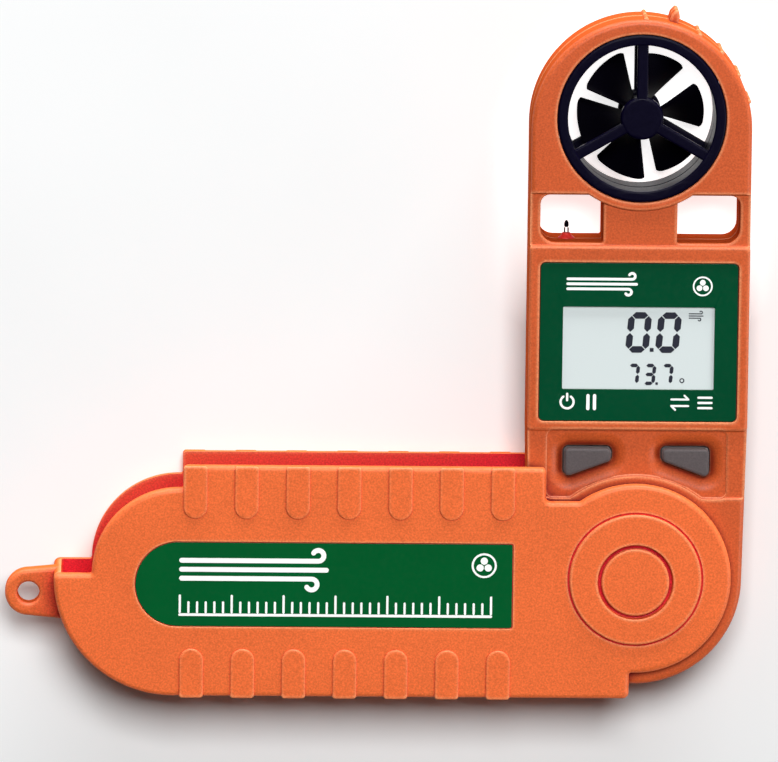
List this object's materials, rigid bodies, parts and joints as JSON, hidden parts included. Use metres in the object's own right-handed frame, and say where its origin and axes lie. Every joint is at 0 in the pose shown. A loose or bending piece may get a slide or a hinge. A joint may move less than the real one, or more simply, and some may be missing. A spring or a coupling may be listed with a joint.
{
  "type": "vane anemometer",
  "caption": "Pocket wind meter with a small vane wheel, a display and press keys, which folds on a pivot out of its own slotted protective case with a lanyard eye.",
  "frame": {"origin": "on the fold pivot axis, at the flat rear face that the closed or opened meter lies on", "axes": "+Z out of the display, -X along the case towards the lanyard eye, +Y along the meter opened square to the case"},
  "size_m": [0.1413, 0.1327, 0.019],
  "materials": {
    "case_plastic": "orange, fine spark-eroded grain",
    "meter_plastic": "orange, fine grain, slightly darker than the case",
    "printed_green": "printed polycarbonate film, satin",
    "black_plastic": "blue-black, moulded smooth",
    "key_rubber": "matt grey silicone",
    "dark_rubber": "matt",
    "lcd_panel": "pale reflective liquid-crystal cell",
    "circuit_laminate": "solder-masked glass laminate",
    "bright_steel": "bright",
    "spring_brass": "satin"
  },
  "bodies": {
    "case": {"case_front_cover": "case_plastic", "case_rear_cover": "case_plastic", "case_label": "printed_green", "pivot_post": "case_plastic", "pivot_cap": "case_plastic"},
    "meter": {"pivot_spring_washer": "bright_steel", "meter_front_shell": "meter_plastic", "meter_rear_shell": "meter_plastic", "shell_seal": "dark_rubber", "display_overlay": "printed_green", "lcd_glass": "lcd_panel", "lcd_contact_strip_upper": "key_rubber", "lcd_contact_strip_lower": "key_rubber", "keypad_membrane": "key_rubber", "left_key_dome": "bright_steel", "right_key_dome": "bright_steel", "circuit_board": "circuit_laminate", "controller_chip": "black_plastic", "speed_sensor": "black_plastic", "coin_cell": "bright_steel", "battery_contact_negative": "spring_brass", "battery_clip_positive": "spring_brass", "shell_screw_1": "bright_steel", "shell_screw_2": "bright_steel", "shell_screw_3": "bright_steel", "shell_screw_4": "bright_steel", "vane_housing_front": "black_plastic", "vane_housing_rear": "black_plastic", "front_bearing": "spring_brass", "rear_bearing": "spring_brass", "sensor_grommet": "meter_plastic", "thermistor_lead_left": "bright_steel", "thermistor_lead_right": "bright_steel", "thermistor_bead": "black_plastic"},
    "impeller": {"impeller": "black_plastic", "impeller_shaft": "bright_steel", "impeller_magnet": "bright_steel"},
    "left_button": {"left_button": "key_rubber"},
    "right_button": {"right_button": "key_rubber"},
    "battery_door": {"battery_door": "meter_plastic", "battery_door_seal": "dark_rubber"}
  },
  "joints": [
    {"name": "case_fold", "type": "hinge", "parent": "case", "child": "meter", "pos_m": [0, 0, 0.0095], "axis": [0, 0, 1], "range_deg": [-90, 90]},
    {"name": "impeller_spin", "type": "hinge", "parent": "meter", "child": "impeller", "pos_m": [0, 0.089, 0.0095], "axis": [0, 0, 1], "continuous": true},
    {"name": "left_button_press", "type": "slide", "parent": "meter", "child": "left_button", "axis": [0, 0, -1], "range_m": [0, 0.0008], "stiffness_N_per_m": 400},
    {"name": "right_button_press", "type": "slide", "parent": "meter", "child": "right_button", "axis": [0, 0, -1], "range_m": [0, 0.0008], "stiffness_N_per_m": 400},
    {"name": "battery_door_turn", "type": "hinge", "parent": "meter", "child": "battery_door", "pos_m": [0, 0.046, 0.004], "axis": [0, 0, 1], "range_deg": [0, 45]}
  ]
}
